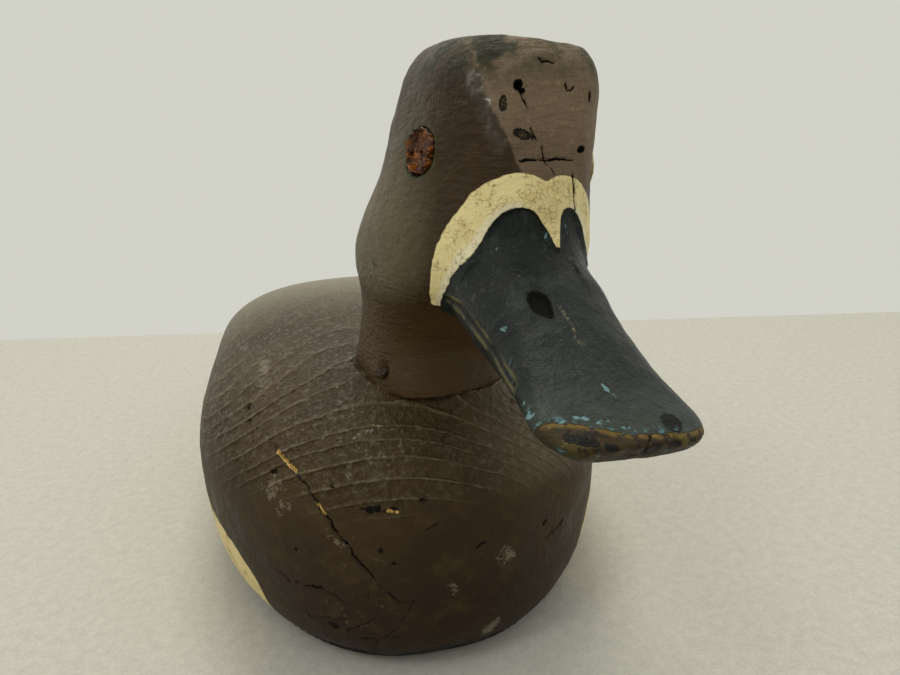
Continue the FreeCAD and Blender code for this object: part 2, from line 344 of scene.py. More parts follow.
bodyCard = {
    "voxelMm": 2.5,
    "pith": (-12.6, 15.3), "pithRun": (-0.023, -0.055), "pithAt": -150.0, "ringSquash": 1.112,
    "rings": [
        8, 13, 18, 23, 28, 33, 38, 43, 48, 53.5, 59.2, 64.3, 67.9, 70.3, 73.9, 77.1, 79.4, 81.7,
        83.9, 86.0, 88.3, 90.4, 92.7, 95, 97.5, 100, 102.4, 105, 107.5, 110, 113, 116, 119, 122,
        125, 128,
    ],
    "ridgeHeight": 0.42, "raspDepth": 0.22, "carving": 0.30,
    "crackDepth": 1.1,
    "noiseMm": (38, 9, 2.2, 0.7), "specular": 0.22, "glintRough": 0.22, "reliefMm": 1.7,
    # drying cracks, as x and z across the breast
    "cracks": [
        [(-56.6, 74.6), (-48.1, 72.3), (-43.1, 69.9), (-37.8, 65.9), (-33.6, 59.8), (-27.9, 50.3),
         (-20.1, 38.6), (-13.3, 29.0)], [(-49.6, 35.0), (-44.9, 32.7), (-37.8, 32.8), (-32.6, 31.2),
                                         (-28.1, 28.9)],
        [(-40.5, 19.8), (-33.7, 21.4), (-29.3, 22.5)],
        [(-29.2, 17.3), (-23.1, 22.3), (-18.4, 24.2)], [(-22.0, 11.5), (-14.7, 19.4), (-8.8, 30.0)],
        [(32.4, 36.6), (44.0, 41.2)], [(-4.6, 54.2), (1.3, 56.2)], [(-2.3, 54.7), (-0.6, 53.6)],
        [(-25.9, 14.2), (-13.8, 15.3)],
    ],
    # flaked places: x, z, half width, half height, turn
    "flakes": [
        (-19.0, 61.3, 3.4, 1.0, 4), (-13.4, 61.0, 1.5, 0.8, -10), (12.3, 45.5, 1.3, 0.5, 20),
        (35.8, 44.9, 0.8, 1.4, -25), (-42.9, 44.8, 0.5, 0.5, 0), (-17.8, 47.8, 0.4, 0.3, 0),
        (-29.9, 66.6, 0.5, 0.4, 0), (-3.9, 63.5, 0.9, 0.5, 20), (-33.5, 18.5, 1.2, 1.4, 0),
        (-22.6, 32.0, 0.9, 0.7, 0), (-47.4, 66.8, 1.1, 0.5, 35), (-55.9, 74.2, 0.6, 0.4, -60),
        (-37.9, 33.0, 1.8, 0.7, -10), (-14.2, 43.5, 0.6, 0.5, 0), (-28.3, 50.6, 0.9, 0.6, -40),
    ],
    "chalkRubs": [
        (21.5, 38.0, 2.2, 3.4, 20), (3.3, 31.9, 1.6, 1.4, 0), (-48.3, 62.4, 1.5, 3.0, -35),
        (-45.0, 59.2, 1.2, 2.4, -35), (16.0, 12.0, 3.0, 3.2, 0), (-29.9, 50.1, 0.9, 1.8, 20),
        (-52.0, 80.0, 2.5, 2.0, 0),
    ],
    # the cream flank panel, as y and z along the side
    "flankEdge": rounded([(-101, 36.5), (-112, 36.2), (-121, 34.5), (-131, 30.2), (-135, 24),
                          (-134.8, 19.6), (-133, 12), (-128, -1), (-126, -6), (118, -6), (132, 8),
                          (120, 22), (92, 32), (50, 38), (0, 41), (-50, 40)], 2, True),
}


# where the neck comes down on the body
neckSeam = [(-19, -98, 82.5), (-18.2, -107, 82.4), (-14.8, -117.5, 81.6), (-6, -126.5, 80.6),
            (8, -130.3, 79.9), (18.5, -129.6, 79.6), (26.5, -125.8, 79.4), (31.5, -120.5, 79.3),
            (37, -108, 80)]


def onBreast(points):
    return (points[:, 1] < -70) & (points[:, 2] > 2)


def shapeBody():
    piece = copyOfNode("body_block", "carvedBody", bodyCard["voxelMm"], 3)
    finerWhere(piece, lambda p: (p[:, 1] < -84) & (p[:, 2] > 40) & (np.abs(p[:, 0]) < 68))
    finerWhere(piece, lambda p: (p[:, 1] < -92) & (p[:, 2] > 54) & (np.abs(p[:, 0]) < 62))
    for reach in (4.0, 1.6):
        finerWhere(piece, lambda p: onBreast(p) & ((reach < 2) | (p[:, 2] < 54)) & (np.min(
            [lineDistance(p[:, [0, 2]], c) for c in bodyCard["cracks"]]
            + [np.abs(spotDistance(p[:, [0, 2]], bodyCard["flakes"]))], axis=0) < reach))
    places, normals = readSkin(piece)
    across = places[:, [0, 2]]
    x, y, z = places.T
    clouds, fine, grit = (wobble(places, size, seed, 2)
                          for size, seed in ((34, 1), (5, 2), (1.7, 3)))
    # growth rings stand up where soft wood has shrunk away between them
    along = y - bodyCard["pithAt"]
    radius = np.hypot(x - bodyCard["pith"][0] - bodyCard["pithRun"][0] * along,
                      (z - bodyCard["pith"][1] - bodyCard["pithRun"][1] * along)
                      * bodyCard["ringSquash"])
    phase = np.interp(radius + clouds * 0.8 + fine * 0.25, bodyCard["rings"],
                      range(len(bodyCard["rings"])))
    upper = smooth(54, 67, z + clouds * 5)
    ahead = smooth(-40, -95, y)
    ridges = np.clip(0.05 + upper * (0.30 + 0.70 * ahead), 0, 1) * (0.8 + 0.4 * fine)
    ridge = (0.5 + 0.5 * np.cos(phase * 2 * math.pi)) ** 5
    under = normals[:, 2] < -0.7
    lift = -0.45 + bodyCard["carving"] * clouds + 0.10 * fine
    lift += bodyCard["ridgeHeight"] * ridges * (ridge - 0.25)
    lift += bodyCard["raspDepth"] * (grit + 0.8 * wobble(places * np.array([1, 1, 0.35]), 1.5, 8,
                                                         2)) * upper * ahead
    crack = np.full(len(places), 40.0)
    jitter = np.stack([fine, wobble(places, 5, 5, 2)], 1) * 0.7
    ragged = jitter + np.stack([grit, wobble(places, 1.7, 6, 2)], 1) * 0.30
    for line in bodyCard["cracks"]:
        crack = np.minimum(crack, lineDistance(across + ragged, line))
    crack += 0.5 * smooth(-44, -50, x) * smooth(64, 68, z)  # fainter at its start
    crack = np.where(onBreast(places), crack, 40.0)
    chip = np.where(onBreast(places), spotDistance(across + jitter * 1.1, bodyCard["flakes"])
                    + grit * 0.6, 40.0)
    lift -= bodyCard["crackDepth"] * np.clip(1 - crack / 0.4, 0, 1) * smooth(-0.9, 0.1, clouds)
    lift -= 0.35 * smooth(0.3, -0.3, chip)
    # the lower edge is knocked and worn
    lift -= 0.9 * smooth(9, 1, z) * np.clip(0.5 + 0.9 * fine, 0, 1.4) * ~under
    lift = np.where(under, np.minimum(lift, 0) * 0.2, lift)
    side = np.stack([y, z], 1) + np.stack([wobble(places, 12, 7, 2), fine],
                                          1) * np.array([0.9, 0.7])
    flank = np.where(np.abs(x) > 30, insideDistance(side, bodyCard["flankEdge"]), -40.0)
    chalk = np.where(onBreast(places), spotDistance(across + jitter * 2, bodyCard["chalkRubs"])
                     * 0.35 + 0.6 * grit, 9.0)
    bare = np.exp(-(lineDistance(across, [(-45.8, 71.0), (-40.6, 68.4)]) / 0.75) ** 2)
    bare += np.exp(-(lineDistance(across, [(-34.6, 61.4), (-33.0, 59.2)]) / 0.8) ** 2)
    bare += 0.7 * np.exp(-(lineDistance(across, [(-14.6, 61.0), (-12.4, 60.8)]) / 1.2) ** 2)
    seam = lineDistance(places, rounded(neckSeam))
    lift += (2.0 * np.exp(-(seam / 3.4) ** 2) + 0.7
             * np.exp(-(seam / 1.5) ** 2)) * (normals[:, 2] > 0.2)
    moveSkin(piece, places + normals * lift[:, None], *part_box("body_block"))
    storeValues(piece, {"ringPhase": phase, "ridges": ridges, "chalk": chalk, "crack": crack,
                        "chip": chip, "flank": flank,
                        "bareWood": np.where(onBreast(places), bare, 0), "upper": upper,
                        "seam": seam})
    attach(piece, "decoy")
    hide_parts("body_block")
    return piece


def bodyPaint():
    # brushed oil paint, weathered on cedar: a dull chocolate film, greyed on top by painted sky
    # light and sheen, darker towards the bottom as painted shade, rubbed on the ridges, which also
    # carry painted highlights
    material, add, shader, place = startPaint("weatheredBrownOilPaint")
    read, cloud, blotch, grain, dust = readPaint(add, place, body, bodyCard["noiseMm"])
    parts = add("SeparateXYZ", place)
    normal = add("SeparateXYZ", add("NewGeometry").outputs["Normal"])
    strokePlace = add("Mapping", {"Vector": place, "Rotation": (0.3, 0.25, 0.5),
                                  "Scale": (900, 160, 900)})
    strokes = add("TexNoise", {"Vector": strokePlace, "Scale": 1.0, "Detail": 3.0})
    # ridge lines from the ring count
    swing = add("cos", add("*", read["ringPhase"], 2 * math.pi))
    crestShow = add("*", add("fade", swing, 0.76, 1.0), read["ridges"])
    # ring crests: partly rubbed paint, partly a painted highlight along them
    crestRubAndHighlight = add("*", crestShow, add("ramp", grain, 0.3, 0.6, 0.35, 1.0))
    # surfaces facing up, which the layers below make lighter as painted sky light
    skyward = add("fade", normal.outputs["Z"], 0.1, 0.95)
    # painted shade: the lower breast is made darker towards the bottom, where less light reaches
    paintedLowShade = add("fade", parts.outputs["Z"], 0.075, 0.02)
    skyLitAndWornTop = add("*", skyward, add("fade", blotch, 0.35, 0.65, 0, 0.75))
    edgeNoise = add("+", add("*", blotch, -0.034), add("*", grain, -0.014))
    nearEdge = add("+", parts.outputs["Z"], edgeNoise)
    lowBlack = add("fade", add("+", nearEdge, add("fade", parts.outputs["X"], 0.0, -0.03, 0,
                                                  -0.003)), -0.0180, -0.0190)
    flankEdge = add("+", read["flank"], add("*", grain, 0.9))
    creamOn = add("fade", flankEdge, 0.40, 0.55)
    creamGone = add("*", add("fade", blotch, 0.63, 0.66), add("fade", grain, 0.45, 0.55))
    cream = add("*", creamOn, add("-", 1.0, creamGone))
    crackWide = add("-", read["crack"], add("*", grain, 0.5))
    crackOn = add("*", add("fade", crackWide, -0.05, -0.17), add("fade", blotch, 0.38, 0.46))
    crackHalo = add("fade", read["crack"], 1.1, 0.2, 0, 0.4)
    chipOn = add("fade", add("-", read["chip"], add("*", dust, 1.5)), -0.75, -0.90)
    bareOn = add("fade", add("*", read["bareWood"], grain), 0.27, 0.36)
    pitted = add("*", add("fade", dust, 0.66, 0.72), add("fade", blotch, 0.5, 0.62))
    scuffs = add("*", add("fade", grain, 0.60, 0.72), add("fade", cloud, 0.54, 0.66, 0, 0.5))
    seamOn = add("*", add("fade", add("+", read["seam"], add("*", grain, 1.2)), 1.05, 0.85),
                 add("fade", parts.outputs["X"], 0.012, 0.020))
    under = add("fade", normal.outputs["Z"], -0.6, -0.9)
    layers = [
        (add("fade", cloud, 0.35, 0.65, 0, 0.8), "#473519"),
        # painted shade on the low breast
        (paintedLowShade, "#281804"),
        (add("fade", blotch, 0.5, 0.7, 0, 0.35), "#554426"),
        (read["upper"], add("fade", grain, 0.4, 0.62, 0, 0.5), "#473a22"),
        # painted sky light on top-facing surfaces, mixed with real weathering in blotches
        (skyLitAndWornTop, 0.2, "#4c442e"),
        # painted sheen: the top of the back made pale grey, the bright room's reflection at a
        # grazing angle
        (skyward, add("fade", parts.outputs["Y"], -0.045, 0.05, 0, 0.9), "#8d8873"),
        # painted sky light in grainy patches on top-facing surfaces
        (skyward, add("fade", grain, 0.5, 0.7, 0, 0.3), "#5d5640"),
        # painted light: the right side of the upper breast made lighter, as if lit from the right
        (read["upper"], add("fade", parts.outputs["X"], 0.008, 0.042, 0, 0.55),
         add("fade", parts.outputs["Y"], -0.06, -0.09), "#7d735a"),
        (add("fade", strokes, 0.58, 0.72), add("*", read["upper"], 0.30), "#7d735c"),
        # pale crests: rubbed paint and painted highlight
        (crestRubAndHighlight, 0.36, "#877b5e"),
        (scuffs, "#75695a"),
        (add("fade", add("+", read["chalk"], add("*", dust, 2.6)), 1.35, 0.9, 0, 0.42), "#9a8f7d"),
        (pitted, "#241a10"),
        (cream, "#e2d096"),
        (cream, add("fade", blotch, 0.5, 0.7, 0, 0.5), "#b89e62"),
        (lowBlack, "#0d0b08"),
        (crackHalo, "#2c2115"),
        (chipOn, "#100c08"),
        (crackOn, "#080604"),
        (bareOn, "#cba75c"),
        (seamOn, "#a89a80"),
        (under, "#3a3026"),
        (under, add("fade", blotch, 0.52, 0.6), "#7b6a50"),
    ]
    layPaint(add, shader, "#36250f", layers)
    rough = add("ramp", blotch, 0.3, 0.7, 0.40, 0.62)
    for amount, value in ((add("*", read["upper"], 0.7), 0.42), (chipOn, 0.9)):
        rough = add("Mix", {0: amount, 2: rough, 3: value}, data_type="FLOAT")
    # small rubbed glints on the high spots
    glints = add("*", read["upper"], add("fade", grain, 0.52, 0.66, 0, 0.35))
    # relief finer than the skin itself
    height = add("*", crestShow, 0.42)
    for part, depth in ((grain, 0.42), (dust, 0.20), (strokes, 0.30)):
        rougher = add("ramp", read["upper"], 0, 1, depth * 0.35, depth * 1.7)
        height = add("+", height, add("*", part, rougher))
    for part, depth in ((blotch, 0.35), (crackOn, -0.8), (chipOn, -0.3), (cream, 0.12)):
        height = add("+", height, add("*", part, depth))
    bump = add("Bump", {"Height": height, "Strength": 1.0, "Distance": bodyCard["reliefMm"] / 1000})
    fillInputs(shader, {"Roughness": rough, "IOR": 1.5, "Specular IOR Level": bodyCard["specular"],
                        "Coat Weight": glints, "Coat Roughness": bodyCard["glintRough"],
                        "Normal": bump})
    return material


body = shapeBody()
body.data.materials.append(bodyPaint())
print("body painted")


# the head: knife-carved, with a cream face band and a slate bill

headCard = {
    "voxelMm": 1.05, "turn": 10.0, "lean": 7.0,
    "billDrop": 33.0, "billRoot": (0.0, -72.0, 55.0),
    "carving": 0.30, "bandStep": 1.0, "crackDepth": 0.8,
    "noiseMm": (26, 7, 1.9, 0.6), "specular": 0.22, "wetRough": 0.14, "reliefMm": 1.4,
    # edges of the face band, as x and height above the bill's line
    "bandOuter": [
        (-21.8, -30), (-23.8, -20.3), (-24.3, -13.8), (-22.2, -6.7), (-19.6, -0.8), (-17, 4.1),
        (-14.3, 7.7), (-9.9, 11.4), (-5.9, 12.2), (-3.4, 12.0), (-1.2, 11.4), (0.3, 12.4),
        (2.2, 12.8), (5.8, 12.6), (9.7, 10.6), (13.3, 7.6), (17, 4.1), (19.6, -0.8), (22.2, -6.7),
        (24.3, -13.8), (23.8, -20.3), (21.8, -30), (16, -37), (-16, -37),
    ],
    "bandInner": [
        (-19.9, -27), (-20.2, -19.2), (-19.7, -13.5), (-17.9, -8.2), (-15.6, -3.7), (-13.5, 0.2),
        (-10.9, 3.7), (-7.7, 5.3), (-4.6, 5.8), (-2.3, 4.0), (0.1, 1.9), (2.2, -0.3), (2.9, -0.5),
        (3.8, 1.2), (3.9, 5.8), (6.2, 6.4), (8.3, 5.4), (11.6, 2.7), (14.5, -1.5), (17.9, -8.2),
        (19.7, -13.5), (20.2, -19.2), (19.9, -27), (16, -37), (-16, -37),
    ],
    "bandCrack": [(7.0, 12.2), (7.8, 8.8), (8.6, 6.6), (9.0, 5.1)],
    # where the worn rim of the bill starts: across, and along
    "rimEdge": ([-20.1, -17.9, -14.5, -9.7, -6.1, -2.1, 4.5, 11.9, 19.3],
                [50.6, 50.7, 51.8, 54.0, 55.4, 56.3, 57.0, 57.3, 54.8]),
    # both ends, along, across and up, and the half width
    "rimSpots": [
        ((55.2, -16.3, -3.3), (57.6, -11.7, -2.4), 1.0),
        ((59.0, -8.8, -2.3), (59.4, -7.6, -2.4), 1.0), ((60, -2.3, -5.6), (60, -1.7, -5.3), 0.5),
        ((60, 1.0, -4.6), (60, 3.0, -3.6), 1.2), ((60, 6.4, -2.6), (60, 8.2, -2.9), 0.9),
        ((60, 10.6, -5.8), (60, 11.6, -5.6), 0.6), ((59, 12.4, -2.8), (58.4, 13.6, -3.4), 0.8),
        ((54, 19.4, -6.2), (55, 18.6, -5.4), 0.7),
    ],
    "rimCrack": [(57.2, 1.7, -1.9), (60, 0.5, -2.0), (60, 0.3, -4.4)],
    # over the face, as x and z
    "cracks": [
        [(-7.4, 74.2), (-3.5, 74.6), (0, 74.4), (3.9, 74.9), (7.8, 75.0)],
        [(-8.9, 90.2), (-7.4, 87.8), (-6.4, 86.0)], [(-5.0, 81.5), (-3.4, 78.8)],
        [(-1.6, 77.4), (-0.6, 75.2), (-0.2, 73.3), (0.7, 71.2)],
        [(-4.4, 98.0), (-3.4, 96.9), (-2.0, 97.4), (-0.2, 97.2)],
        [(3.4, 92.9), (4.4, 91.4), (5.6, 91.4), (6.2, 92.2)],
    ],
    "holes": [(-9.4, 91.1, 1.2, 1.3, 0), (-8.2, 89.8, 0.8, 0.6, 0), (10.0, 77.7, 1.1, 0.9, 0),
              (11.0, 90.5, 0.3, 0.7, 0)],
    "oliveChips": [(-7.3, 79.9, 2.5, 1.1, -14), (-12.7, 86.8, 0.7, 1.5, 0)],
    # x, y, z and half width
    "cheekFlakes": [
        (-30.5, -43.6, 48.9, 1.0), (-28.7, -50.1, 51.9, 0.9), (-28.7, -42.7, 61.4, 1.0),
        (-32.1, -28.5, 40.6, 0.9), (-24.0, -42.7, 86.2, 0.6), (-29.6, -45.5, 64.6, 0.8),
        (-31.2, -40.0, 44.0, 0.7), (29.0, -44.0, 52.0, 0.9), (30.5, -30.0, 60.0, 0.8),
        (27.0, -20.0, 84.0, 0.8), (8.0, 12.0, 60.0, 1.0), (-16.0, 12.0, 52.0, 0.9),
    ],
    # the forehead's glossy edge, and the side of its flat face
    "facetEdge": [(-18.9, -58.3, 92.1), (-17.9, -60.1, 89.8), (-16.5, -61.9, 87.1),
                  (-15.6, -62.8, 84.5), (-14.3, -64.5, 79.8), (-12.8, -65.8, 77.6)],
    "facetSide": ([70, 74.2, 76.5, 79.6, 82.7, 85.3, 89, 95, 101.5, 108],
                  [-7.5, -8.5, -10.1, -11.8, -13.6, -15.2, -16.5, -18.4, -18.2, -17]),
    "billGroove": [(-4.5, -18.9, -26.5), (3.1, -18.8, -21.5), (13.1, -18.0, -18.6),
                   (23.5, -18.1, -15.4), (36, -19.2, -11.4)],
    # along, across, half length, half width, turn
    "billNostril": (18.9, 7.9, 4.3, 2.3, 13.6),
    "billScrape": [(20.6, -3.6), (25.8, -2.7), (29.5, -3.2), (31.9, -2.2)],
    "blueChips": [
        (21.3, -16.8, 1.1, 0.5, 30), (44.0, -2.1, 1.4, 0.35, 25), (50.6, -11.6, 1.3, 0.5, 60),
        (51.0, -15.9, 0.4, 1.2, 0), (-2.6, 7.3, 0.9, 0.4, 30), (0.4, -0.8, 0.5, 0.3, 0),
        (54.3, -2.7, 0.3, 0.9, 0), (46.6, -20.2, 0.8, 0.6, 0), (43.0, -19.8, 0.4, 0.4, 0),
        (52.8, -7.5, 0.3, 1.1, 0),
    ],
}


def toHead(places):  # undoes the head's turn and lean about the dowel
    away = places - np.array(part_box("neck_dowel")).mean(0) * 1000
    turn, lean = math.radians(-headCard["turn"]), math.radians(-headCard["lean"])
    x = away[:, 0] * math.cos(turn) - away[:, 1] * math.sin(turn)
    y = away[:, 0] * math.sin(turn) + away[:, 1] * math.cos(turn)
    return np.stack([x * math.cos(lean) + away[:, 2] * math.sin(lean), y,
                     -x * math.sin(lean) + away[:, 2] * math.cos(lean)], 1)


def toBill(local):  # along the bill, across it, and up from it
    drop = math.radians(headCard["billDrop"])
    away = local - np.array(headCard["billRoot"])
    along = -away[:, 1] * math.cos(drop) - away[:, 2] * math.sin(drop)
    height = -away[:, 1] * math.sin(drop) + away[:, 2] * math.cos(drop)
    return np.stack([along, away[:, 0], height], 1)


def easeSkin(piece, repeat, chooser):  # evens the skin where the chooser picks
    picked = chooser(*toBill(toHead(readSkin(piece)[0])).T)
    editPicked(piece, "VERT", picked, bpy.ops.mesh.vertices_smooth, factor=0.5, repeat=repeat)


def shapeHead():
    piece = copyOfNode("head_block", "carvedHead", headCard["voxelMm"], 2)
    # the bill runs up into the face in one sweep; the nostril is cut again below
    easeSkin(piece, 80, lambda run, side, high: (run > -7) & (run < 11) & (high > -9)
             & (high < 7) & (np.abs(side) < 19))
    easeSkin(piece, 90, lambda run, side, high: (np.abs(run - 18.9) < 7) & (high > -9)
             & (np.abs(np.abs(side) - 8.4) < 5))
    easeSkin(piece, 22, lambda run, side, high: (run > -4) & (run < 27) & (high > -10))
    easeSkin(piece, 12, lambda run, side, high: (np.abs(run + 1) < 8) & (high < -5) & (high > -27))
    eyes = [np.array(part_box(n)).mean(0) * 1000 for n in ("right_eye_putty", "left_eye_glass")]

    def faceArea(p):
        local = toHead(p)
        bill = toBill(local)
        (x, y, z), (run, side, high) = local.T, bill.T
        front = (y < -50) & (z > 46) & (run < 9)
        tip = (run > 44) & (high > -9)
        eye = np.min([np.linalg.norm(p - e, axis=1) for e in eyes], axis=0) < 11
        groove = lineDistance(np.abs(bill) * np.array([1, -1, 0]) + bill * np.array([0, 0, 1]),
                              headCard["billGroove"]) < 2.5
        low = (np.abs(run + 6) < 6) & (high < -8) & (high > -34)
        pitRun, pitSide = headCard["billNostril"][:2]
        pit = (np.abs(run - pitRun) < 6) & (np.abs(side + pitSide) < 4.5) & (high > -9)
        return front | tip | eye | groove | low | pit

    def fineArea(p):
        local = toHead(p)
        bill = toBill(local)
        (x, y, z), (run, side, high) = local.T, bill.T
        flat = local[:, [0, 2]]
        near = np.min([lineDistance(flat, c) for c in headCard["cracks"]]
                      + [np.abs(spotDistance(flat, headCard["holes"] + headCard["oliveChips"]))],
                      axis=0) < 1.1
        near &= y < -52
        near |= (lineDistance(bill[:, 1:], headCard["bandCrack"]) < 1.3) & (run < 0) & (run > -15)
        step = insideDistance(bill[:, 1:], np.array(headCard["bandInner"]))
        near |= (step > -0.7) & (step < 1.2) & (run < 3) & (run > -14)
        near |= np.linalg.norm(p - eyes[0], axis=1) < 7.4
        return near

    finerWhere(piece, faceArea)
    finerWhere(piece, fineArea)
    places, normals = readSkin(piece)
    local = toHead(places)
    bill = toBill(local)
    (x, y, z), (run, side, high) = local.T, bill.T
    clouds, fine, grit = (wobble(places, size, seed, 2)
                          for size, seed in ((15, 11), (4, 12), (1.4, 13)))
    jitter = np.stack([fine, wobble(places, 4, 14, 2)], 1)
    flat = local[:, [0, 2]] + jitter * 0.40 + np.stack([grit, wobble(places, 1.4, 17, 2)], 1) * 0.16
    # the paint lines
    ring = bill[:, 1:] + jitter * 0.16
    outer = insideDistance(ring, rounded(headCard["bandOuter"], 2, True))
    outer = np.minimum(outer, run + 17)
    outer = np.minimum(outer, high + 31.5 + 0.5 * fine)
    inner = insideDistance(ring, rounded(headCard["bandInner"], 1, True))
    inner = np.where(run < -14, np.minimum(inner, (run + 14)), inner)
    onward = np.where((np.abs(side) < 7) & (high > -6), run - 2.4, run + 1.2)
    inner = np.where(onward > -0.6, np.maximum(inner, onward), inner)
    band = np.minimum(outer, -inner)
    lift = -0.35 + headCard["carving"] * clouds + 0.10 * fine
    step = smooth(-0.1, 0.9, inner) * smooth(14, 4, inner)
    lift -= headCard["bandStep"] * step * (0.2 + 0.8 * smooth(-20, -9, high))
    lift += 0.12 * smooth(-0.1, 0.3, band)
    # the neck's foot comes down and in to meet the body
    seam = lineDistance(places, rounded(neckSeam))
    foot = smooth(7, 2.5, seam) * smooth(6, 1, z)
    heart = np.array(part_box("neck_dowel")).mean(0)[:2] * 1000
    inwards = (heart - places[:, :2]) / np.linalg.norm(heart - places[:, :2], axis=1)[:, None]
    lift += 0.3 * foot
    # dents of the knife on the cheeks
    blade = wobble(local * np.array([0.35, 0.35, 1.0]), 3.4, 15, 1)
    onCheek = smooth(22, 26, np.abs(x)) + smooth(0, 10, y)
    lift += 0.10 * blade * np.clip(onCheek, 0, 1)
    front = (y < -52) & (z > 60)
    crack = np.full(len(places), 30.0)
    for line in headCard["cracks"]:
        crack = np.minimum(crack, lineDistance(flat, line))
    crack = np.where(front, crack, 30.0)
    ring2 = bill[:, 1:] + jitter * 0.35
    gap = np.where((run < 0) & (run > -16), lineDistance(ring2, headCard["bandCrack"]), 30.0)
    tip = lineDistance(bill + fine[:, None] * 0.3, headCard["rimCrack"])
    flakes = np.min([np.linalg.norm((local - np.array(f[:3])) * np.array([1, 1, 0.55]), axis=1)
                     - f[3] for f in headCard["cheekFlakes"]], axis=0) + 0.7 * grit + 0.5 * fine
    hole = np.where(front, spotDistance(flat, headCard["holes"]) + grit * 0.35, 30.0)
    olive = np.where(front, spotDistance(flat, headCard["oliveChips"]) + grit * 0.4, 30.0)
    lift -= headCard["crackDepth"] * np.clip(1 - np.minimum(crack, gap * 0.6) / 0.36, 0, 1)
    lift -= 0.5 * np.clip(1 - tip / 0.5, 0, 1)
    lift -= 1.8 * smooth(0.2, -0.8, hole) + 0.2 * smooth(0.3, -0.2, np.minimum(olive, flakes))
    shine = np.exp(-(lineDistance(local, headCard["facetEdge"]) / 2.2) ** 2)
    lift += shine * (0.5 + 0.95 * wobble(places, 2.8, 16, 2))
    facet = x - np.interp(z, *headCard["facetSide"]) + fine * 0.5 + grit * 0.3
    lift += 0.14 * blade * smooth(2, -2, facet) * smooth(-8, -2, facet) * front
    spots = np.full(len(places), 30.0)
    for start, end, wide in headCard["rimSpots"]:
        spots = np.minimum(spots, lineDistance(bill, [start, end]) - wide)
    spots += grit * 0.4 + fine * 0.2
    rim = run - np.interp(side, *headCard["rimEdge"]) + fine * 0.35 + grit * 0.2
    mirrored = np.stack([run, -np.abs(side), high], 1)
    groove = np.where(run > -5, lineDistance(mirrored + fine[:, None] * 0.2,
                                             headCard["billGroove"]), 30.0)
    lift -= 0.7 * np.exp(-(groove / 0.8) ** 2)
    *middle, long, wide, lean = headCard["billNostril"]
    oval = np.stack([run, np.abs(side)], 1) + jitter * 0.7
    onTop = (high > -8) & (run > 5)
    nostril = spotDistance(oval, [(*middle, long, wide, -lean)])
    nostril = np.where(onTop & (side < 0), nostril, 30.0)
    lift -= 1.5 * smooth(0.25, -1.1, nostril)
    plan = bill[:, :2] + jitter * 0.5
    blue = np.where(high > -12, spotDistance(plan, headCard["blueChips"]) + grit * 0.5, 30.0)
    lift -= 0.12 * smooth(0.2, -0.2, np.minimum(blue, spots))
    scrape = np.where(onTop, lineDistance(bill[:, :2], headCard["billScrape"]), 30.0)
    upSide = toBill(toHead(normals * 100 + places)) - bill
    edge = np.exp(-((upSide[:, 2] / 100 - 0.15) / 0.3) ** 2) * smooth(2, 8, run)
    socket = np.linalg.norm(places - eyes[0], axis=1) + fine * 0.7 + grit * 0.3
    places[:, 2] -= 2.2 * foot
    places[:, :2] += inwards * (1.2 * foot)[:, None]
    moveSkin(piece, places + normals * lift[:, None], *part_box("head_block"))
    storeValues(piece, {"band": band, "bill": inner,
                        "crack": np.minimum(crack, np.minimum(gap * 0.6, tip * 0.8)),
                        "flake": flakes, "hole": hole, "facet": facet, "olive": olive,
                        "shine": shine, "spots": spots, "rim": rim, "groove": groove,
                        "nostril": nostril, "blue": blue, "scrape": scrape, "edge": edge,
                        "socket": socket, "billRun": run, "billUp": upSide[:, 2] / 100, "localX": x,
                        "localY": y, "localZ": z, "billHigh": high})
    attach(piece, "decoy")
    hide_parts("head_block")
    return piece


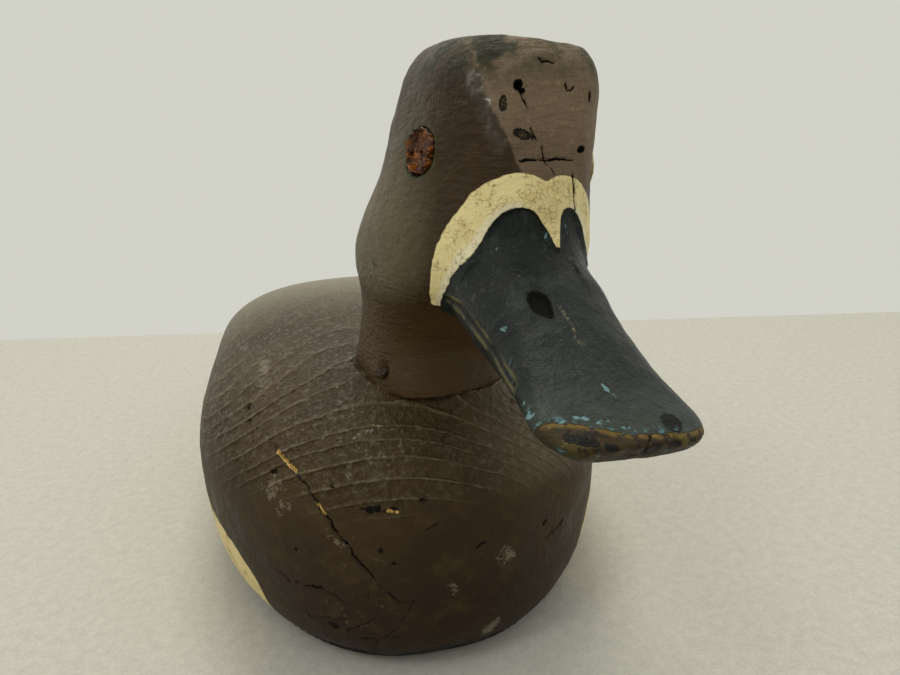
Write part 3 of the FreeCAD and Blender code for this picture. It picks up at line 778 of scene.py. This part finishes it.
def headPaint():
    # brushed oils on pine: brown head with a dry sheen, lighter on top and on the duck's right
    # cheek as painted sheen, cream band gone yellow and crazed with a painted highlight on its
    # step, slate bill over an older blue, worn to ochre wood at the rim with painted light and
    # shade there
    material, add, shader, place = startPaint("brushedHeadOilPaints")
    read, cloud, blotch, grain, dust = readPaint(add, place, head, headCard["noiseMm"])
    normal = add("SeparateXYZ", add("NewGeometry").outputs["Normal"])
    combPlace = add("Mapping", {"Vector": place, "Rotation": (0.55, -0.35, 0.3),
                                "Scale": (150, 330, 760)})
    comb = add("TexNoise", {"Vector": combPlace, "Scale": 1.0, "Detail": 2.0})
    hairPlace = add("Mapping", {"Vector": place, "Rotation": (0.9, 0.5, -0.4),
                                "Scale": (1500, 1500, 190)})
    hair = add("TexNoise", {"Vector": hairPlace, "Scale": 1.0, "Detail": 2.0})
    bend = add("TexNoise", {"Vector": place, "Scale": 500.0, "Detail": 2.0}).outputs["Color"]
    bent = add("VectorMath", {0: bend, 3: 0.0022}, operation="SCALE")
    warped = add("VectorMath", place, bent, operation="ADD")
    craze = add("TexVoronoi", {"Vector": warped, "Scale": 620.0, "Randomness": 1.0},
                feature="DISTANCE_TO_EDGE").outputs["Distance"]
    billOn = add("fade", add("+", read["bill"], add("*", dust, 0.25)), 0.05, 0.25)
    bandOn = add("*", add("fade", add("+", read["band"], add("*", grain, 0.35)), 0.05, 0.22),
                 add("-", 1, billOn))
    face = add("*", add("fade", read["facet"], -0.6, 0.7), add("fade", read["localY"], -48, -56),
               add("fade", read["localZ"], 66, 72))
    skyward = add("fade", normal.outputs["Z"], 0.15, 0.9)
    crown = add("*", add("fade", read["localZ"], 90, 100), add("fade", blotch, 0.3, 0.6))
    neckOn = add("fade", read["localZ"], 34, 22)
    crackWide = add("-", read["crack"], add("*", grain, 0.55))
    crackOn = add("fade", crackWide, -0.06, -0.16)
    flakeOn = add("fade", read["flake"], 0.25, -0.1)
    flakeHeart = add("fade", read["flake"], -0.35, -0.6)
    holeOn = add("fade", read["hole"], 0.25, -0.05)
    olive = add("-", read["olive"], add("*", dust, 1.0))
    oliveEdge = add("fade", olive, -0.2, -0.4)
    oliveOn = add("*", add("fade", olive, -0.7, -0.9), add("fade", dust, 0.56, 0.48))
    frayed = add("-", read["socket"], add("+", add("*", blotch, 3.0), add("*", grain, 2.0)))
    ringRim = add("fade", frayed, 5.5, 5.2)
    ringDark = add("fade", frayed, 4.4, 4.2)
    crazeOn = add("*", add("fade", craze, 0.05, 0.0), add("fade", blotch, 0.40, 0.55),
                  add("fade", grain, 0.4, 0.55))
    # painted highlight along the cream band's step down to the bill
    bandStepHighlight = add("*", add("fade", read["bill"], -1.3, -0.7),
                add("fade", add("size", read["localX"]), 5.0, 9.0))
    rimOn = add("*", add("fade", read["rim"], -0.1, 0.25), billOn,
                add("fade", read["billUp"], -0.55, -0.35))
    spotOn = add("*", rimOn, add("fade", read["spots"], 0.15, -0.15))
    edgeOn = add("*", read["edge"], billOn, add("fade", blotch, 0.50, 0.60))
    blueEdge = add("*", edgeOn, add("fade", grain, 0.56, 0.60),
                   add("fade", read["billRun"], 26, 38))
    blueRim = add("*", add("fade", read["rim"], -2.4, -0.6), add("fade", read["rim"], 0.35, 0.0),
                  add("fade", grain, 0.55, 0.60), billOn)
    blueOn = add("*", add("fade", read["blue"], 0.15, -0.15), billOn,
                 add("fade", grain, 0.40, 0.48))
    scrapeOn = add("*", add("fade", add("+", read["scrape"], grain), 1.15, 0.75),
                   add("fade", dust, 0.4, 0.6, 0, 0.6))
    grooveOn = add("*", add("fade", read["groove"], 0.75, 0.3), billOn)
    channel = add("*", add("fade", read["groove"], 2.6, 1.8), add("fade", read["groove"], 0.7, 1.1),
                  billOn, add("fade", blotch, 0.4, 0.6))
    nostrilOn = add("*", add("fade", add("+", read["nostril"], add("*", dust, 0.4)), 0.3, 0.05),
                    billOn)
    plan = add("CombineXYZ", read["billRun"], read["localX"], 0.0)
    nailOn = add("VectorMath", plan, (54.4, 9.4, 0.0), operation="DISTANCE")
    nailOn = add("*", add("fade", add("+", nailOn.outputs["Value"], add("*", blotch, 5.0)), 5.6,
                          5.1), add("fade", read["billHigh"], -5, -4))
    dots = add("*", add("fade", dust, 0.70, 0.73), add("fade", cloud, 0.45, 0.6))
    rub = add("fade", add("+", blotch, add("*", hair, 0.5)), 0.72, 0.95)
    layers = [
        (add("fade", cloud, 0.35, 0.65, 0, 0.8), "#38270f"),
        (add("fade", comb, 0.50, 0.72, 0, 0.35), "#4d3b22"),
        # painted sky light: surfaces facing up made lighter and greyer, in blotches
        (skyward, add("fade", blotch, 0.35, 0.65, 0, 0.5), "#565039"),
        # painted reflection: the duck's right side of the head made lighter and greyer, the bright
        # room's sheen at a grazing angle
        (add("fade", read["localX"], -22, -31, 0, 0.65), "#6b6249"),
        (neckOn, "#4a3720"),
        (face, 0.95, "#7e6c58"),
        (face, add("fade", grain, 0.55, 0.7, 0, 0.45), "#988569"),
        (face, add("fade", dust, 0.56, 0.66, 0, 0.5), "#54452f"),
        (face, add("fade", cloud, 0.55, 0.7, 0, 0.4), "#66563f"),
        (face, add("fade", read["localZ"], 86, 72, 0, 0.55), "#5c4c3b"),
        (crown, "#4d4935"),
        (add("fade", read["localX"], -6, -14), add("*", add("fade", read["localZ"], 88, 98),
                                                   add("fade", blotch, 0.42, 0.58, 0, 0.85)),
         "#25281a"),
        (dots, 0.9, "#17110a"),
        (flakeOn, "#5b5138"), (flakeHeart, "#0e0a05"),
        (ringRim, "#45452b"), (ringDark, "#0c0906"),
        (oliveEdge, "#120e07"), (oliveOn, "#4d431b"),
        (bandOn, "#efe1a6"),
        (bandOn, add("fade", blotch, 0.48, 0.68, 0, 0.6), "#d2b878"),
        (bandOn, add("*", add("fade", cloud, 0.5, 0.6), add("fade", grain, 0.55, 0.7, 0, 0.85)),
         "#8a6428"),
        # painted highlight on the band's step
        (bandOn, add("*", bandStepHighlight, 0.65), "#efe9cf"),
        (bandOn, add("*", crazeOn, 0.5), "#6b5831"),
        (billOn, "#131a18"),
        (billOn, add("fade", cloud, 0.4, 0.65, 0, 0.7), "#212a28"),
        (billOn, add("fade", rub, 0.2, 1.0, 0, 0.30), "#3e4642"),
        (billOn, add("fade", read["billRun"], 34, 56, 0, 0.45), "#475048"),
        (billOn, add("*", dots, 0.9), "#a79a74"),
        (channel, "#5a5636"), (grooveOn, "#060706"),
        (scrapeOn, "#8a8268"),
        (nostrilOn, "#010101"), (nailOn, "#030404"),
        (rimOn, "#35290c"),
        # painted highlight: a lighter ochre line where the worn rim starts
        (rimOn, add("fade", read["rim"], 1.8, 0.7), "#6b5522"),
        (rimOn, add("fade", blotch, 0.5, 0.66, 0, 0.7), "#5e5226"),
        (rimOn, add("fade", grain, 0.48, 0.60, 0, 0.9), "#1c150a"),
        # painted shade: the worn rim made darker towards the bill's underside
        (rimOn, add("fade", read["billHigh"], -4.2, -6.2, 0, 0.85), "#2b2717"),
        (spotOn, "#040504"),
        (blueEdge, "#4d7074"), (blueRim, "#4d6c70"), (blueOn, "#698c90"),
        (holeOn, "#020101"),
        (crackOn, "#040302"),
    ]
    layPaint(add, shader, "#2f200c", layers)
    rough = add("ramp", blotch, 0.3, 0.7, 0.36, 0.58)
    for amount, value in ((face, 0.62), (bandOn, 0.5), (billOn, 0.40),
                          (add("*", read["shine"], 0.95), 0.12), (rimOn, 0.5), (nostrilOn, 0.75),
                          (nailOn, 0.5), (crackOn, 0.95), (holeOn, 0.95)):
        rough = add("Mix", {0: amount, 2: rough, 3: value}, data_type="FLOAT")
    # varnish-thick drips along the forehead's edge, and rubbed glints on the bill
    glints = add("*", billOn, add("fade", grain, 0.58, 0.66, 0, 0.35),
                 add("fade", read["billRun"], 24, 4))
    wet = add("max", read["shine"], glints)
    brown = add("*", add("-", 1.0, billOn), add("-", 1, bandOn))
    height = add("*", comb, 0.45, brown)
    height = add("+", height, add("*", hair, 0.12, brown))
    for part, depth in ((grain, 0.30), (dust, 0.12), (blotch, 0.55)):
        height = add("+", height, add("*", part, depth))
    for part, depth in ((bandOn, 0.15), (add("*", bandOn, crazeOn), -0.12), (crackOn, -0.8),
                        (holeOn, -0.8), (oliveEdge, -0.25), (flakeOn, -0.15), (blueOn, -0.12),
                        (rimOn, -0.15), (spotOn, 0.15), (nailOn, -0.1)):
        height = add("+", height, add("*", part, depth))
    bump = add("Bump", {"Height": height, "Strength": 1.0, "Distance": headCard["reliefMm"] / 1000})
    fillInputs(shader, {"Roughness": rough, "IOR": 1.5, "Specular IOR Level": headCard["specular"],
                        "Coat Weight": wet, "Coat Roughness": headCard["wetRough"], "Normal": bump})
    return material


head = shapeHead()
head.data.materials.append(headPaint())
print("head painted")


# eyes: one empty socket with its old filler, one glass eye bedded in putty

eyeCard = {
    "inward": np.array([0.977, 0.172, -0.122]),  # from the right socket to the head's middle
    # node: piece, slot, voxel, roughness and depth in mm, and the noise's seed
    "fillers": {"right_eye_putty": ("socketFiller", "right_putty", 0.28, 0.85, 2.8, 21),
                "left_eye_putty": ("eyePuttyRing", "left_putty", 0.25, 0.22, 0.0, 31)},
    "pupilMm": 2.6, "glassIor": 1.52,
}


def shapeFiller(node, material):
    name, slotName, voxelMm, rough, sunk, seed = eyeCard["fillers"][node]
    piece = copyOfNode(node, name, voxelMm, 2)
    places, normals = readSkin(piece)
    lumps = wobble(places, 2.6, seed, 2) * 0.9 + wobble(places, 0.9, seed + 1, 2) * 0.45
    lift = rough * lumps - rough * 0.35
    inward = eyeCard["inward"]
    outFacing = smooth(0.2, 0.6, -(normals @ inward))
    places = places + inward * (sunk * outFacing)[:, None]
    moveSkin(piece, places + normals * lift[:, None], *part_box(node))
    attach(piece, "decoy")
    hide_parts(node)
    piece.data.materials.append(material)


def mottledPaint(name, base, spots, rough, depthMm, metal=0.0, ior=1.5):
    # spots are (size in mm, low, high, colour); the last spot's noise also gives the relief
    material, add, shader, place = startPaint(name)
    layers = []
    for size, low, high, code in spots:
        cloud = add("TexNoise", {"Vector": place, "Scale": 1000 / size, "Detail": 4.0,
                                 "Roughness": 0.65})
        layers.append((add("fade", cloud, low, high), code))
    layPaint(add, shader, base, layers)
    bump = add("Bump", {"Height": cloud, "Strength": 1.0, "Distance": depthMm / 1000})
    fillInputs(shader, {"Roughness": add("ramp", cloud, 0.3, 0.7, *rough), "Metallic": metal,
                        "IOR": ior, "Normal": bump})
    return material


# resin glue and rotted putty left in the socket: amber, wet-looking in places, with dark pits
socketResin = ("amberSocketResin", "#532803",
               [(3.4, 0.44, 0.6, "#935205"), (2.0, 0.50, 0.6, "#260d03"),
                (1.1, 0.56, 0.64, "#8f5510"), (0.9, 0.56, 0.63, "#0c0603"),
                (3.0, 0.62, 0.70, "#7d6a38")], (0.22, 0.6), 0.5, 0.0, 1.52)
# linseed putty, brush-smeared with the head's brown: pale, chalky and cracked
eyePutty = ("linseedEyePutty", "#b5a67c",
            [(4.0, 0.45, 0.62, "#8f7f57"), (1.4, 0.52, 0.62, "#cdbf97"),
             (0.8, 0.60, 0.68, "#3c301e")], (0.5, 0.8), 0.12)


def glassEyeMaterial(node):
    # blown glass button, amber round a black pupil: deep, clear and very glossy
    material, add, shader, place = startPaint("amberGlassEye")
    low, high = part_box(node)
    verts = np.array([v.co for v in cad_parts[node].data.vertices])
    spread = np.linalg.svd(verts - verts.mean(0), full_matrices=False)[2][2]
    look = Vector(spread) if spread[0] > 0 else -Vector(spread)
    turn = look.to_track_quat("Z", "Y").to_euler()
    facing = add("Mapping", {"Vector": place, "Location": (low + high) / 2, "Rotation": turn},
                 vector_type="TEXTURE")
    flat = add("VectorMath", facing, (1.0, 1.0, 0.0), operation="MULTIPLY")
    away = add("VectorMath", flat, operation="LENGTH").outputs["Value"]
    pupil = eyeCard["pupilMm"] / 1000
    iris = add("fade", away, pupil, pupil * 1.08)
    rim = add("fade", away, pupil * 1.55, pupil * 1.8)
    streak = add("TexNoise", {"Vector": place, "Scale": 1400.0, "Detail": 3.0})
    layPaint(add, shader, "#050404", [(iris, "#6e3a0a"), (streak, iris, "#a8701c"),
                                      (rim, "#1c0f06")])
    fillInputs(shader, {"Roughness": add("ramp", streak, 0.45, 0.75, 0.03, 0.22),
                        "IOR": eyeCard["glassIor"], "Coat Weight": 0.6, "Coat Roughness": 0.04})
    return material


shapeFiller("right_eye_putty", mottledPaint(*socketResin))
shapeFiller("left_eye_putty", mottledPaint(*eyePutty))


# small CAD parts that keep their shape

smallParts = {
    # ring and staple: drawn brass wire, dulled brown with a little green where water sat
    "tie_ring": ("drawnBrassTarnished", "#9a7434",
                 [(6, 0.4, 0.6, "#6e5026"), (1.6, 0.55, 0.68, "#3d2f18"),
                  (2.5, 0.62, 0.7, "#4f6a55")], (0.28, 0.55), 0.03, 1.0),
    "tie_staple": ("drawnBrassOld", "#8c6a30", [(5, 0.4, 0.6, "#604723"),
                                                (1.4, 0.52, 0.68, "#3a2c17"),
                                                (2.2, 0.6, 0.7, "#4f6a55")], (0.3, 0.6), 0.04, 1.0),
    # screws: turned brass, bright only on the high spots
    "ballast_screws": ("turnedBrassScrews", "#a67f3c",
                       [(3, 0.4, 0.6, "#7a5a2a"), (1.0, 0.55, 0.66, "#3d2f18")], (0.25, 0.5), 0.03,
                       1.0),
    # ballast: lead cast in an open mould, grey-white bloom over a pitted skin
    "ballast_bar": ("openCastLead", "#5d6063", [(14, 0.4, 0.62, "#7f8385"),
                                                (3.5, 0.5, 0.64, "#474a4d"),
                                                (1.2, 0.6, 0.68, "#a3a59f")], (0.45, 0.72), 0.25,
                    0.85),
    # toe nails: cut iron, rusted through the paint
    "neck_nails": ("rustedNailIron", "#1c120a", [(2.0, 0.42, 0.6, "#2e1d0e"),
                                                 (0.8, 0.58, 0.66, "#8a6a2c"),
                                                 (1.2, 0.6, 0.7, "#1d130b")], (0.55, 0.85), 0.10,
                   0.35),
    # dowel: turned birch, pale with fine grain
    "neck_dowel": ("turnedBirchDowel", "#b28f5e",
                   [(9, 0.4, 0.6, "#a07d4e"), (1.1, 0.5, 0.62, "#8c6a40")], (0.55, 0.7), 0.08, 0.0),
    # eye shank: soft iron wire, brown with rust
    "left_eye_shank": ("annealedIronWire", "#4a3626",
                       [(1.5, 0.45, 0.6, "#6e4426"), (0.6, 0.55, 0.65, "#241a12")], (0.45, 0.7),
                       0.03, 0.7),
}
paints = {node: mottledPaint(*row) for node, row in smallParts.items()}
paints["left_eye_glass"] = glassEyeMaterial("left_eye_glass")
for node, material in paints.items():
    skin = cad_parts[node].data
    skin.materials.clear()
    skin.materials.append(material)
print("small parts finished")
